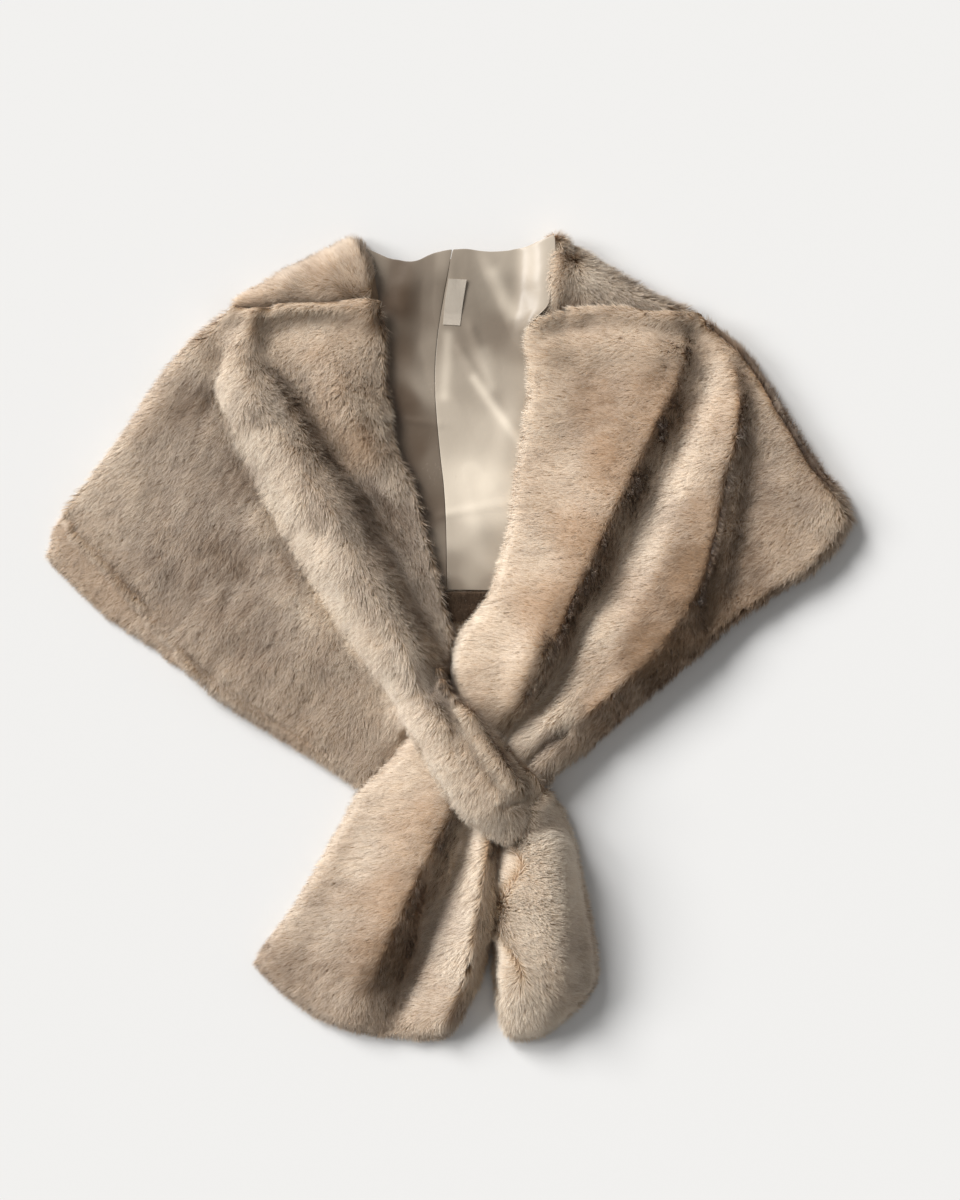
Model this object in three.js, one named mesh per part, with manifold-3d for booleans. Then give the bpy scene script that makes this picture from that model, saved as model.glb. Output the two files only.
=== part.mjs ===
// A faux-fur shoulder wrap, laid flat with its fronts up and knotted by its own ends.
//
// The back lies on the floor, fur down, with its satin lining facing up. Both shoulders turn over to the
// front as far as the shoulder seams, where the two fronts begin. The left front carries a long soft roll
// that ends in a band, and the right front passes under that band, through the slot between the band and
// the strip below it, and comes out as a wide tail. Band and strip join again in the second tail.
//
// Each layer is laid on what is below it: its underside is worked out from the tops of the layers it
// covers, and falls to the floor beyond them.

import * as THREE from 'three';
import { mergeVertices } from 'three/addons/utils/BufferGeometryUtils.js';
import Module from 'manifold-3d';

const wasm = await Module();
wasm.setup();

// Sizes in millimetres: +X to the viewer's right, +Y towards the neck, +Z up from the floor
const FUR_WALL = 13;          // one layer of backing and pile
const THINNEST_FUR = 9;       // the same layer where a fold presses it
const LINING_WALL = 1.2;
const LABEL_WALL = 0.8;
const SEAM_GAP = 0.3;
const LAYER_GAP = 0.8;        // air between two layers that lie on each other
const FUR_RIM = 13;           // how far in from an edge the fur rounds away
const NECK_LIFT = 15;         // how far the back neck edge stands up from the floor
const NECK_REACH = 62;        // how far down from that edge the rise begins
const FACING_WALL = 2;
const OVER_BACK = 16.6;       // underside of the fronts where the back and its lining carry them
const FLAT_TOP = 28;          // top of the fronts where they lie flat
const RISE = 1.5;             // how much higher rolls and ridges stand above that than their lines give
const REACH = 19;             // how far round a point a layer feels what is below it
const EDGE_REACH = 8;         // the same at an edge that turns down beside the back
const EDGE_FACE = 0.1;        // share of the wall's height left as a face at a rounded edge
const MIDDLE = 0.45;          // height of that face, as a share of the wall
const NECK_EDGE_Y = 404;
const NECK_HALF_WIDTH = 96;
const SEAM_SLANT_GAP = 0.1;   // added to the linings' gap, because their seam doesn't run straight down
const EDGE_SHARE = 0.6;       // share of a rim that counts as the panel's edge
const RIM_LIMIT = 0.8;        // most of the way to the next long line that a rim takes
const END_LIMIT = 0.4;        // most of a stretch that one rounded end takes
const RIM_SHARES = [0, 0.14, 0.46, 1];
const TINY = 1e-6;
const MERGE_DISTANCE = 1e-4;
const CURVE_STEPS = 400;      // how finely a long line is measured
const SEAM_RISE = 1;          // how much higher the turned shoulder stands at its seam than the front there

const FUR_COLOUR = 0xb9a58e;
const LINING_COLOUR = 0xd6cabb;
const LABEL_COLOUR = 0xe4dfd6;

const furMaterial = () => new THREE.MeshStandardMaterial({ color: FUR_COLOUR, roughness: 0.95, metalness: 0 });
const satinMaterial = () => new THREE.MeshStandardMaterial({ color: LINING_COLOUR, roughness: 0.35, metalness: 0 });
const labelMaterial = () => new THREE.MeshStandardMaterial({ color: LABEL_COLOUR, roughness: 0.7, metalness: 0 });

// Long lines of each panel. A line runs from the shoulder down to the knot or the hem, and its points are
// [x, y, height of the top side]. The first line of a panel is its outer edge. Heights above FLAT_TOP are
// drawn low, and RISE lifts them.

const leftFrontLines = {
  outerEdge: [[-226, 348, 28], [-267, 320, 28], [-300, 281, 28], [-331, 233, 28], [-367, 184, 28], [-391, 153, 28],
    [-408, 130, 28], [-398, 106, 28], [-372, 80, 28], [-330, 34, 28], [-290, -12, 28], [-256, -52, 27],
    [-199, -91, 23], [-135, -130, 19], [-92, -159, 17]],
  outerCape: [[-222, 346, 28], [-262, 300, 29], [-292, 240, 29], [-312, 180, 28], [-318, 120, 28], [-300, 60, 27],
    [-255, 0, 27], [-195, -50, 26], [-130, -100, 21], [-82, -150, 17]],
  innerCape: [[-218, 345, 28], [-250, 290, 28], [-262, 230, 27], [-250, 160, 26], [-225, 90, 26], [-190, 25, 26],
    [-140, -40, 25], [-98, -90, 21], [-70, -137, 17]],
  groove: [[-213, 345, 28], [-240, 300, 28], [-247, 256, 27], [-216, 198, 26], [-184, 140, 26], [-152, 78, 25],
    [-119, 20, 25], [-88, -30, 24], [-64, -72, 21], [-52, -104, 17]],
  rollLeft: [[-209, 345, 28], [-231, 303, 32], [-226, 252, 37], [-194, 197, 41], [-161, 142, 44], [-130, 84, 46],
    [-98, 28, 47], [-69, -22, 47], [-50, -66, 44], [-46, -99, 28]],
  rollRidge: [[-205, 345.5, 28], [-221, 307, 36], [-200, 249, 43], [-164, 197, 48], [-130, 144, 52], [-102, 92, 55],
    [-74, 39, 56], [-47, -12, 56], [-32, -58, 54], [-34, -91, 36]],
  rollFlank: [[-197, 346, 28], [-208, 312, 32], [-176, 262, 37], [-142, 204, 41], [-109, 150, 45], [-81, 96, 48],
    [-53, 42, 51], [-29, -10, 51], [-20, -46, 47], [-24, -80, 34]],
  valley: [[-188, 346, 27], [-190, 306, 25], [-157, 258, 24], [-124, 202, 24], [-91, 148, 24], [-62, 92, 24],
    [-35, 40, 25], [-14, -6, 28], [-9, -42, 30], [-15, -70, 28]],
  brow: [[-131, 350, 28], [-128, 312, 31], [-113, 262, 36], [-95, 212, 36], [-70, 168, 30], [-43, 112, 24.5],
    [-19, 52, 24.5], [-5, 2, 26], [-4, -30, 28], [-8, -62, 27]],
  innerEdge: [[-72, 353, 28], [-67, 318, 28], [-65, 268, 28], [-57, 200, 28], [-44, 176, 27], [-32, 146, 26],
    [-24, 112, 25], [-14, 78, 25], [-6, 41, 25], [1, 14, 25], [2, -26, 26], [-1, -57, 27]],
};

const rightFrontLines = {
  outerEdge: [[259, 340, 28], [291, 320, 28], [312, 301, 28], [337, 264, 28], [365, 219, 28], [392, 177, 28],
    [420, 147, 28], [427, 134, 28], [417, 107, 28], [392, 76, 28], [361, 57, 27], [326, 34, 26], [295, 13, 26],
    [281, -1, 27], [256, -22, 27], [222, -52, 26], [204, -66, 26], [155, -110, 26], [122, -136, 27],
    [104, -148, 29], [84, -168, 31]],
  outerCape: [[257, 339, 28], [305, 299, 29], [331, 262, 28], [356, 200, 28], [371, 150, 28], [369, 110, 28],
    [343, 72, 26], [307, 34, 25], [272, -2, 29], [232, -36, 30], [170, -86, 30], [122, -126, 31], [76, -163, 34]],
  stepFoot: [[254, 338, 28], [301, 302, 27], [322, 262, 25], [321, 196, 24], [316, 132, 24], [303, 78, 23],
    [291, 26, 26], [261, -4, 33], [217, -38, 34], [158, -84, 34], [112, -122, 34], [68, -157, 36]],
  middleRidge: [[250, 338, 28], [287, 304, 31], [304, 258, 37], [297, 197, 41], [287, 140, 43], [273, 84, 44],
    [251, 36, 44], [221, -8, 43], [181, -46, 42], [136, -86, 40], [94, -116, 37], [57, -146, 36]],
  middleSlope: [[246, 338, 28], [278, 307, 28], [283, 258, 32], [264, 203, 36], [243, 143, 38], [222, 86, 39],
    [199, 32, 39], [173, -16, 38], [144, -52, 36], [106, -88, 34], [72, -116, 34], [45, -135, 36]],
  deepValley: [[241, 338, 27], [268, 311, 24.5], [266, 262, 24.5], [242, 210, 24.5], [215, 152, 24.5],
    [191, 102, 24.5], [167, 50, 24.5], [144, 8, 24.5], [122, -32, 24.5], [91, -72, 27], [61, -104, 32],
    [35, -126, 36]],
  innerRidge: [[232, 338, 28], [250, 310, 33], [238, 264, 38], [213, 215, 41], [186, 160, 43], [162, 109, 45],
    [140, 60, 46], [120, 16, 47], [102, -26, 47], [76, -64, 44], [47, -96, 37], [20, -118, 36]],
  breast: [[150, 345, 28], [158, 296, 31], [148, 240, 33], [136, 190, 34], [118, 138, 36], [103, 92, 39],
    [87, 46, 42], [70, 6, 46], [52, -30, 48], [36, -62, 43], [18, -86, 36], [0, -104, 36]],
  innerEdge: [[94, 336, 28], [85, 326, 29], [80, 304, 30], [87, 281, 30], [84, 247, 30], [79, 209, 31], [73, 179, 32],
    [68, 141, 33], [65, 112, 34], [57, 86, 35], [47, 52, 37], [33, 29, 39], [15, 8, 42], [3, -18, 44],
    [2.5, -42, 44], [5, -60, 38], [-20, -88, 35]],
};

const rightTailLines = {
  outerEdge: [[-20, -88, 35], [-45, -113, 35], [-64, -134, 33], [-92, -160, 30], [-109, -191, 28], [-135, -236, 26],
    [-165, -287, 25], [-192, -320, 24], [-205, -341, 22]],
  outerField: [[-9, -98, 36], [-38, -124, 37], [-66, -158, 34], [-88, -205, 30], [-112, -260, 28], [-140, -318, 26],
    [-172, -375, 21]],
  leftRoll: [[5, -111, 36], [-20, -140, 40], [-42, -180, 40], [-63, -232, 38], [-85, -290, 35], [-110, -345, 31],
    [-137, -400, 22]],
  leftCrest: [[22, -126, 36], [8, -156, 42], [0, -186, 45], [-22, -232, 44], [-48, -285, 42], [-72, -340, 37],
    [-98, -413, 23]],
  deepValley: [[36, -139, 36], [28, -170, 38], [22, -204, 30], [8, -244, 18], [-14, -292, 15], [-34, -345, 14],
    [-62, -420, 14]],
  centreSlope: [[46, -147, 36], [38, -176, 40], [30, -210, 38], [19, -250, 30], [5, -300, 27], [-9, -350, 25],
    [-34, -422, 18]],
  centreRoll: [[56, -156, 36], [47, -182, 42], [40, -214, 45], [32, -255, 46], [23, -306, 44], [14, -352, 39],
    [-8, -419, 24]],
  innerEdge: [[74, -173, 35], [58, -194, 36], [54, -216, 36], [49, -255, 36], [45.5, -306, 36], [36, -344, 34],
    [24, -378, 28], [9, -406, 22]],
};

const leftTailLines = {
  outerEdge: [[57.5, -209.6, 36], [54, -232, 36], [50, -262, 36], [48, -300, 36], [49, -340, 34], [50, -384, 30],
    [57, -417, 24]],
  leftSlope: [[72.5, -200.6, 46], [66, -230, 43], [62, -262, 42], [61, -305, 42], [62, -350, 38], [66, -421, 25]],
  leftCrest: [[78.6, -189.5, 50], [76, -222, 46], [76, -260, 47], [79, -305, 47], [80, -352, 42], [79, -421, 26]],
  ridge: [[77.6, -176.5, 52], [88, -214, 47], [92, -258, 48], [97, -305, 48], [99, -352, 42], [94, -417, 26]],
  rightSlope: [[87.6, -166.5, 48], [103, -204, 42], [114, -256, 41], [124, -306, 39], [127, -352, 34],
    [118, -400, 25]],
  innerEdge: [[101.5, -157.6, 36], [115, -180, 33], [127, -218, 31], [136, -260, 30], [146, -308, 28],
    [151, -340, 26], [149, -364, 24], [138, -383, 22]],
};

const bandLines = {
  lowerEdge: [[-80, -6, 24], [-62, -50, 30], [-46, -88, 48], [-25, -120, 56], [-6, -154, 56], [10, -177, 56],
    [34, -198, 54], [57, -209, 50]],
  rollRidge: [[-52, -4, 34], [-36, -44, 47], [-18, -82, 62], [3, -112, 64], [24, -144, 64], [46, -173, 63],
    [72, -200, 52]],
  rollFlank: [[-38, -8, 32], [-21, -44, 45], [-3, -80, 60], [16, -108, 61], [38, -140, 62], [58, -166, 61],
    [78, -189, 52]],
  darkGroove: [[-26, -12, 28], [-10, -46, 34], [9, -80, 47], [26, -106, 50], [47, -136, 51], [62, -157, 51],
    [77, -176, 49]],
  strandRidge: [[-20, -16, 20], [-5, -48, 27], [20, -80, 46], [38, -104, 49], [60, -132, 50], [75, -150, 49],
    [87, -166, 45]],
  upperEdge: [[-8, -20, 20], [1, -50, 28], [18, -68, 36], [36, -87, 39], [57, -108, 40], [74, -129, 40],
    [90, -142, 40], [101, -157, 38]],
};

// The strip below the slot: plain, flat on the floor, hidden by the tail that lies over it
const stripLines = {
  lowerEdge: [[-128, -128, 13], [-92, -158, 13], [-48, -182, 13], [4, -202, 13], [56, -209.5, 13]],
  middle: [[-110, -94, 13], [-66, -118, 13], [-22, -140, 13], [22, -164, 13], [65, -198.5, 13]],
  upperEdge: [[-92, -56, 13], [-46, -72, 13], [0, -94, 13], [42, -136, 13], [74, -187.5, 13]],
};

const backLines = {
  leftEdge: [[-95, 416, 13], [-138, 394, 13], [-204, 359, 13], [-254, 307, 13], [-287, 270, 13], [-318, 224, 13],
    [-354, 175, 13], [-392, 143, 13], [-420, 116, 13], [-427, 99, 13], [-424, 81, 13], [-409, 66, 13],
    [-376, 35, 13], [-335, 5, 13], [-299, -20, 13], [-262, -46, 13], [-222, -44, 13]],
  leftInside: [[-72, 394, 13], [-150, 290, 13], [-215, 190, 13], [-255, 110, 13], [-235, 40, 13], [-180, -22, 13]],
  leftCentre: [[-36, 393, 13], [-70, 290, 13], [-100, 180, 13], [-120, 80, 13], [-100, -8, 13]],
  centre: [[6, 405, 13], [4, 290, 13], [2, 180, 13], [0, 80, 13], [0, 2, 13]],
  rightCentre: [[52, 402, 13], [80, 290, 13], [104, 180, 13], [120, 80, 13], [104, -6, 13]],
  rightInside: [[84, 404, 13], [150, 290, 13], [215, 190, 13], [262, 110, 13], [220, -4, 13]],
  rightEdge: [[100, 418, 13], [134, 402, 13], [208, 357, 13], [246, 334, 13], [282, 308, 13], [300, 288, 13],
    [324, 256, 13], [352, 211, 13], [378, 170, 13], [402, 142, 13], [408, 128, 13], [400, 110, 13], [380, 84, 13],
    [350, 64, 13], [312, 40, 13]],
};

// The start of a front, edge to edge, moved up by the seam's gap: the shoulder seam
const seamAbove = (frontLines) => Object.values(frontLines).map((line) => line[0])
  .map(([x, y, z]) => [x, y + SEAM_GAP, z + SEAM_RISE]);

// The shoulders: the back's fur turned over, from the fold to the shoulder seam
const leftShoulderLines = {
  fold: [[-97, 423, 28], [-139, 402, 28], [-180, 382, 28], [-206, 369, 28], [-225.5, 352, 28]],
  crown: [[-84, 395, 32], [-130, 376, 33], [-170, 363, 33], [-202, 358, 31], [-224, 351, 28]],
  seam: seamAbove(leftFrontLines).reverse(),
};

const rightShoulderLines = {
  seam: seamAbove(rightFrontLines).reverse(),
  crown: [[104, 384, 33], [150, 370, 34], [196, 356, 33], [236, 347, 31], [256, 343, 28]],
  fold: [[104, 425, 28], [135, 410, 28], [170, 388, 28], [215, 361, 28], [240, 349, 28], [258, 342, 28]],
};

const liningLeftLines = {
  outerEdge: [[-92, 411, 0], [-120, 340, 0], [-165, 240, 0], [-200, 150, 0], [-190, 90, 0], [-150, 46, 0]],
  middle: [[-50, 391, 0], [-66, 300, 0], [-86, 200, 0], [-98, 120, 0], [-86, 47, 0]],
  nearSeam: [[-16, 402.5, 0], [-20, 300, 0], [-24, 200, 0], [-24, 120, 0], [-18, 49, 0]],
  centreSeam: [[2, 408.5, 0], [-7, 361, 0], [-14, 318, 0], [-17, 270, 0], [-12, 200, 0], [-7, 156, 0], [-5, 115, 0],
    [-4, 50, 0]],
};

const liningRightLines = {
  centreSeam: liningLeftLines.centreSeam.map(([x, y, z]) => [x + SEAM_GAP + SEAM_SLANT_GAP, y, z]),
  nearSeam: [[22, 407, 0], [10, 320, 0], [4, 220, 0], [12, 130, 0], [16, 50, 0]],
  middle: [[62, 404.5, 0], [52, 310, 0], [56, 220, 0], [66, 130, 0], [72, 49, 0]],
  outerEdge: [[109, 421, 0], [110, 388, 0], [101, 355, 0], [82, 334, 0], [87, 304, 0], [118, 265, 0], [150, 210, 0],
    [168, 150, 0], [160, 90, 0], [132, 47, 0]],
};

const facingLines = {
  lower: [[-168, 12, 0], [-100, 8, 0], [0, 18, 0], [90, 14, 0], [150, 12, 0]],
  upper: [[-150, 44, 0], [-86, 45.3, 0], [-4, 48.3, 0], [72, 47.3, 0], [132, 45.3, 0]],
};

const labelLines = {
  left: [[-2, 376, 0], [-6, 352, 0], [-8, 329, 0]],
  right: [[17, 375, 0], [13, 351, 0], [10, 328, 0]],
};

const curveThrough = (points) => {
  const curve = new THREE.CatmullRomCurve3(points.map((p) => new THREE.Vector3(...p)), false, 'centripetal');
  curve.arcLengthDivisions = CURVE_STEPS;
  return curve;
};

// Positions from 0 to 1 along a stretch, closer together within rim of a rounded end
function stations(length, rim, count) {
  const start = Math.min(rim.start / length, END_LIMIT);
  const end = 1 - Math.min(rim.end / length, END_LIMIT);
  const first = rim.start > 0 ? RIM_SHARES.map((s) => s * start) : [0];
  const last = rim.end > 0 ? RIM_SHARES.map((s) => 1 - s * (1 - end)).reverse() : [1];
  const from = first[first.length - 1];
  const to = last[0];
  const inner = [];
  for (let k = 1; k < count; k += 1) inner.push(from + ((to - from) * k) / count);
  return [...first, ...inner, ...last];
}

// How far a round edge has risen at a share of its rim
const rounding = (share) => Math.sqrt(Math.max(0, 1 - (1 - Math.min(share, 1)) ** 2));

// Height of the highest top face at a point of the plan, or 0 on the bare floor
function topAt(layers, x, y) {
  let highest = 0;
  for (const t of layers.flat()) {
    if (x < t.x0 || x > t.x1 || y < t.y0 || y > t.y1) continue;
    const u = ((x - t.c.x) * (t.b.y - t.c.y) - (y - t.c.y) * (t.b.x - t.c.x)) / t.area;
    const v = ((x - t.c.x) * (t.c.y - t.a.y) + (y - t.c.y) * (t.a.x - t.c.x)) / t.area;
    const w = 1 - u - v;
    if (u < -TINY || v < -TINY || w < -TINY) continue;
    highest = Math.max(highest, u * t.a.z + v * t.b.z + w * t.c.z);
  }
  return highest;
}

// The triangles of a solid that face up, with what topAt needs of each
function topFaces(geometry) {
  const position = geometry.getAttribute('position');
  const index = geometry.getIndex();
  const faces = [];
  for (let i = 0; i < index.count; i += 3) {
    const [a, b, c] = [0, 1, 2].map((k) => new THREE.Vector3().fromBufferAttribute(position, index.getX(i + k)));
    const area = (a.x - c.x) * (b.y - c.y) - (a.y - c.y) * (b.x - c.x);
    if (area < TINY) continue;
    faces.push({ a, b, c, area, x0: Math.min(a.x, b.x, c.x), x1: Math.max(a.x, b.x, c.x),
      y0: Math.min(a.y, b.y, c.y), y1: Math.max(a.y, b.y, c.y) });
  }
  return faces;
}

// Height at which a layer lies at a point: over the highest thing within reach of it, and no lower than level
// where that is a whole layer of fur
function restingHeight(layers, x, y, { reach, level, air }) {
  const directions = 8;
  let highest = topAt(layers, x, y);
  for (const radius of [reach / 2, reach]) {
    for (let k = 0; k < directions; k += 1) {
      const angle = (2 * Math.PI * k) / directions;
      highest = Math.max(highest, topAt(layers, x + radius * Math.cos(angle), y + radius * Math.sin(angle)));
    }
  }
  if (highest < THINNEST_FUR) return highest > 0 ? highest + air : 0;
  return Math.max(highest + air, level);
}

// A panel of cloth: a closed wall between a top side, which passes through the long lines, and an underside
// laid on the layers below. rim gives the rounding at the first line, the last line, the start and the end.
function panel(lines, { rows, across, rim = {}, below = [], floor = 0, level = 0, air = LAYER_GAP, reach = REACH,
  edgeReach = reach, wall = THINNEST_FUR, top = null, lift = () => 0, wrapsEdge = false }) {
  const curves = Object.values(lines).map(curveThrough);
  const spans = curves.length - 1;
  const meanLength = curves.reduce((sum, c) => sum + c.getLength(), 0) / curves.length;
  const rims = { first: 0, last: 0, start: 0, end: 0, ...rim };
  const downShares = stations(meanLength, { start: rims.start, end: rims.end }, rows);
  const tops = [];
  const bottoms = [];
  for (const v of downShares) {
    const nodes = curves.map((c) => c.getPointAt(v));
    const section = new THREE.CatmullRomCurve3(nodes, false, 'centripetal');
    const firstGap = nodes[0].distanceTo(nodes[1]);
    const lastGap = nodes[spans].distanceTo(nodes[spans - 1]);
    const firstRim = Math.min(rims.first, RIM_LIMIT * firstGap);
    const lastRim = Math.min(rims.last, RIM_LIMIT * lastGap);
    const cut = [];
    for (let k = 0; k < spans; k += 1) {
      const gap = k === 0 ? firstGap : lastGap;
      const ends = { start: k === 0 ? firstRim : 0, end: k === spans - 1 ? lastRim : 0 };
      const within = stations(Math.max(gap, TINY), ends, across[k]);
      cut.push(...within.slice(k === 0 ? 0 : 1).map((s) => (k + s) / spans));
    }
    const alongStart = rims.start ? rounding((v * meanLength) / rims.start) : 1;
    const alongEnd = rims.end ? rounding(((1 - v) * meanLength) / rims.end) : 1;
    const topRow = [];
    const bottomRow = [];
    cut.forEach((t) => {
      const p = section.getPoint(t);
      const fromFirst = t * spans * firstGap;
      const fromLast = (1 - t) * spans * lastGap;
      const atFirst = rims.first && t * spans < 1 ? rounding(fromFirst / Math.max(firstRim, TINY)) : 1;
      const atLast = rims.last && (1 - t) * spans < 1 ? rounding(fromLast / Math.max(lastRim, TINY)) : 1;
      const nearEdge = (rims.first && fromFirst < EDGE_SHARE * rims.first && t * spans < 1)
        || (rims.last && fromLast < EDGE_SHARE * rims.last && (1 - t) * spans < 1);
      const turnsUnder = wrapsEdge && nearEdge;
      const laying = { reach: nearEdge ? edgeReach : reach, level, air };
      const laid = turnsUnder ? 0 : restingHeight(below, p.x, p.y, laying);
      const low = Math.max(laid, floor) + lift(p.x, p.y);
      const drawn = p.z > FLAT_TOP ? FLAT_TOP + RISE * (p.z - FLAT_TOP) : p.z;
      const high = top === null ? Math.max(drawn, low + wall) : low + top;
      const round = Math.max(EDGE_FACE, alongStart * alongEnd * atFirst * atLast);
      const middle = low + MIDDLE * (high - low);
      topRow.push(new THREE.Vector3(p.x, p.y, middle + (high - middle) * round));
      bottomRow.push(new THREE.Vector3(p.x, p.y, middle - (middle - low) * round));
    });
    tops.push(topRow);
    bottoms.push(bottomRow);
  }
  return closedWall(tops, bottoms);
}

// Joins a top and a bottom grid of points into one closed mesh, faces pointing out
function closedWall(tops, bottoms) {
  const rows = tops.length;
  const columns = tops[0].length;
  const vertices = [...tops.flat(), ...bottoms.flat()];
  const topId = (i, j) => i * columns + j;
  const bottomId = (i, j) => rows * columns + i * columns + j;
  const faces = [];
  const quad = (a, b, c, d) => faces.push(a, b, c, a, c, d);
  for (let i = 0; i < rows - 1; i += 1) {
    for (let j = 0; j < columns - 1; j += 1) {
      quad(topId(i, j), topId(i + 1, j), topId(i + 1, j + 1), topId(i, j + 1));
      quad(bottomId(i, j), bottomId(i, j + 1), bottomId(i + 1, j + 1), bottomId(i + 1, j));
    }
    quad(topId(i, 0), bottomId(i, 0), bottomId(i + 1, 0), topId(i + 1, 0));
    quad(topId(i, columns - 1), topId(i + 1, columns - 1), bottomId(i + 1, columns - 1), bottomId(i, columns - 1));
  }
  for (let j = 0; j < columns - 1; j += 1) {
    quad(topId(0, j), topId(0, j + 1), bottomId(0, j + 1), bottomId(0, j));
    quad(topId(rows - 1, j), bottomId(rows - 1, j), bottomId(rows - 1, j + 1), topId(rows - 1, j + 1));
  }
  const geometry = new THREE.BufferGeometry();
  geometry.setAttribute('position', new THREE.Float32BufferAttribute(vertices.flatMap((p) => p.toArray()), 3));
  geometry.setIndex(signedVolume(vertices, faces) < 0 ? turnedOver(faces) : faces);
  return geometry;
}

function signedVolume(vertices, faces) {
  let volume = 0;
  for (let i = 0; i < faces.length; i += 3) {
    const [a, b, c] = [vertices[faces[i]], vertices[faces[i + 1]], vertices[faces[i + 2]]];
    volume += a.dot(new THREE.Vector3().crossVectors(b, c)) / 6;
  }
  return volume;
}

function turnedOver(faces) {
  const turned = [];
  for (let i = 0; i < faces.length; i += 3) turned.push(faces[i], faces[i + 2], faces[i + 1]);
  return turned;
}

function toManifold(geometry) {
  const merged = mergeVertices(geometry, MERGE_DISTANCE);
  return new wasm.Manifold(new wasm.Mesh({
    numProp: 3,
    vertProperties: merged.getAttribute('position').array,
    triVerts: new Uint32Array(merged.getIndex().array),
  }));
}

// Several overlapping solids as one
function joined(...geometries) {
  const whole = geometries.map(toManifold).reduce((sum, next) => sum.add(next));
  const mesh = whole.getMesh();
  const geometry = new THREE.BufferGeometry();
  geometry.setAttribute('position', new THREE.Float32BufferAttribute(mesh.vertProperties, 3));
  geometry.setIndex([...mesh.triVerts]);
  return geometry;
}

// The back neck edge stands up from the floor, most at its middle
function neckLift(x, y) {
  const across = Math.max(0, 1 - (x / NECK_HALF_WIDTH) ** 2);
  const down = Math.min(1, Math.max(0, (NECK_EDGE_Y - y) / NECK_REACH));
  return NECK_LIFT * across * (1 - down) ** 2;
}

const wrap = new THREE.Group();

function addPiece(name, geometry, material) {
  const mesh = new THREE.Mesh(geometry, material);
  mesh.name = name;
  wrap.add(mesh);
  return topFaces(geometry);
}

// The back, its lining and its turned shoulders. The left lining runs on under the left shoulder, and the
// right lining turns up over the edge of the right one.
const slab = panel(backLines, { rows: 18, across: [2, 2, 1, 1, 2, 2], wall: FUR_WALL, lift: neckLift,
  rim: { first: 7, last: 7, start: 6, end: 8 } });
const slabTop = topFaces(slab);
const shoulder = { rows: 7, reach: 8, wrapsEdge: true };
const rightShoulder = panel(rightShoulderLines, { ...shoulder, across: [3, 2], below: [slabTop],
  rim: { last: FUR_RIM } });
const satin = { top: LINING_WALL, reach: 15, rows: 16 };
const liningLeftSolid = panel(liningLeftLines, { ...satin, across: [1, 2, 2], below: [slabTop] });
const leftShoulder = panel(leftShoulderLines, { ...shoulder, across: [2, 3],
  below: [slabTop, topFaces(liningLeftSolid)], rim: { first: FUR_RIM } });

const back = addPiece('back_panel', joined(slab, leftShoulder, rightShoulder), furMaterial());
const liningLeft = addPiece('back_lining_left', liningLeftSolid, satinMaterial());
const liningRight = addPiece('back_lining_right',
  panel(liningRightLines, { ...satin, across: [2, 2, 3], reach: 21, below: [slabTop, topFaces(rightShoulder)] }),
  satinMaterial());
addPiece('neck_label',
  panel(labelLines, { top: LABEL_WALL, below: [liningLeft, liningRight], reach: 3, air: SEAM_GAP, rows: 8,
    across: [4] }),
  labelMaterial());
const facing = addPiece('back_hem_facing',
  panel(facingLines, { top: FACING_WALL, below: [back], reach: 6, rows: 12, across: [2] }), furMaterial());

// The strip below the slot comes first, because the right front and its tail lie on it
const strip = panel(stripLines, { rows: 7, across: [2, 2], wall: FUR_WALL, rim: { first: 5, last: 5 } });
const inside = [back, liningLeft, liningRight, facing];
const laidOnBack = { below: [...inside, topFaces(strip)], level: OVER_BACK, edgeReach: EDGE_REACH };
const rightFront = addPiece('right_front',
  panel(rightFrontLines, { ...laidOnBack, rows: 21, across: [2, 1, 1, 1, 2, 2, 2, 2],
    rim: { first: FUR_RIM, last: 10 } }), furMaterial());
const rightTail = addPiece('right_tail',
  panel(rightTailLines, { rows: 15, across: [2, 1, 2, 1, 1, 1, 2], below: [topFaces(strip)],
    rim: { first: FUR_RIM, last: FUR_RIM, end: FUR_RIM } }), furMaterial());

const cape = panel(leftFrontLines, { below: inside, level: OVER_BACK, edgeReach: EDGE_REACH, rows: 23,
  across: [2, 1, 2, 1, 1, 1, 1, 2, 1], rim: { first: FUR_RIM, last: 9 } });
const band = panel(bandLines, { rows: 14, across: [2, 1, 1, 1, 2], below: [rightFront, rightTail], floor: 16,
  reach: 16, rim: { first: 10, last: 6, end: 4 } });
addPiece('left_front', joined(cape, strip, band), furMaterial());
addPiece('left_tail',
  panel(leftTailLines, { rows: 12, across: [2, 1, 1, 1, 2],
    rim: { first: FUR_RIM, last: FUR_RIM, start: 3, end: FUR_RIM } }),
  furMaterial());

// The origin is on the floor, under the middle of the wrap's outline
const outline = new THREE.Box3().setFromObject(wrap);
const middle = outline.getCenter(new THREE.Vector3());
wrap.position.set(-middle.x, -middle.y, -outline.min.z);

export default wrap;
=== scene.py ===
import math

import bmesh
import bpy
import numpy as np
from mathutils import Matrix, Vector
from mathutils.bvhtree import BVHTree


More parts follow.
